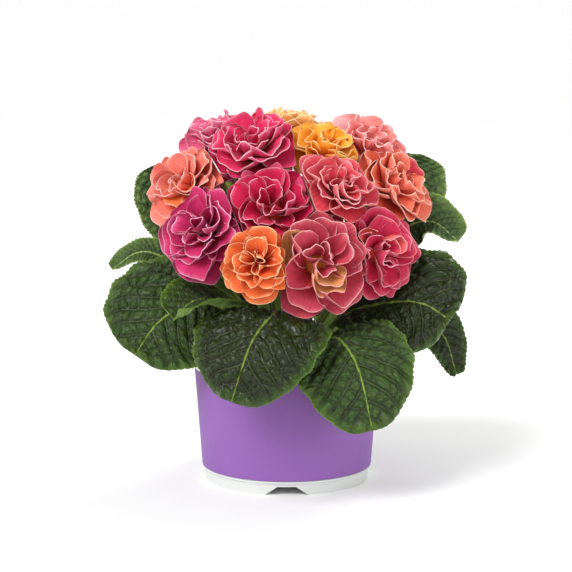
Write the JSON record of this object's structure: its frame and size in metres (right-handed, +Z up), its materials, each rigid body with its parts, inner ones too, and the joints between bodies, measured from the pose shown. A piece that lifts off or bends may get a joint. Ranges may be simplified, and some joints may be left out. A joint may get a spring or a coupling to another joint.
{
  "type": "potted primrose",
  "caption": "Double primrose in a round nursery pot, with ruffled blooms in pink, coral, orange and gold over broad wrinkled leaves.",
  "frame": {"origin": "centre of the pot's foot, on the surface that the pot stands on", "axes": "+Z up along the pot's axis, -Y towards the picture's camera, +X to the right as seen from there"},
  "size_m": [0.2124, 0.1895, 0.209],
  "materials": {
    "pot_plastic": "gloss",
    "label": "satin",
    "soil": "matte",
    "leaf": "satin",
    "stalk": "satin",
    "magenta": "satin",
    "crimson": "satin",
    "rose": "satin",
    "salmon": "satin",
    "orange": "satin",
    "gold": "satin",
    "apricot": "satin"
  },
  "bodies": {
    "root": {"pot": "pot_plastic", "pot_label": "label", "soil": "soil", "crown_and_flower_stalks": "stalk", "leaf_front": "leaf", "leaf_front_right": "leaf", "leaf_left": "leaf", "leaf_right": "leaf", "leaf_right_low": "leaf", "leaf_right_curled": "leaf", "leaf_right_upright": "leaf", "leaf_left_upright": "leaf", "leaf_left_small": "leaf", "leaf_young": "leaf", "leaf_back_right": "leaf", "leaf_back": "leaf", "leaf_back_left": "leaf", "leaf_back_side": "leaf", "bloom_magenta_back_left": "magenta", "bloom_magenta_top": "magenta", "bloom_apricot_back": "apricot", "bloom_gold": "gold", "bloom_rose_back_right": "salmon", "bloom_coral_right": "salmon", "bloom_rose_middle": "rose", "bloom_coral_left": "salmon", "bloom_crimson_middle": "crimson", "bloom_magenta_left": "magenta", "bloom_orange_front": "orange", "bloom_rose_front": "rose", "bloom_magenta_right": "crimson", "bloom_magenta_back_low": "magenta", "bloom_orange_back": "orange", "bloom_crimson_back": "crimson", "bloom_coral_back": "salmon"}
  },
  "joints": []
}
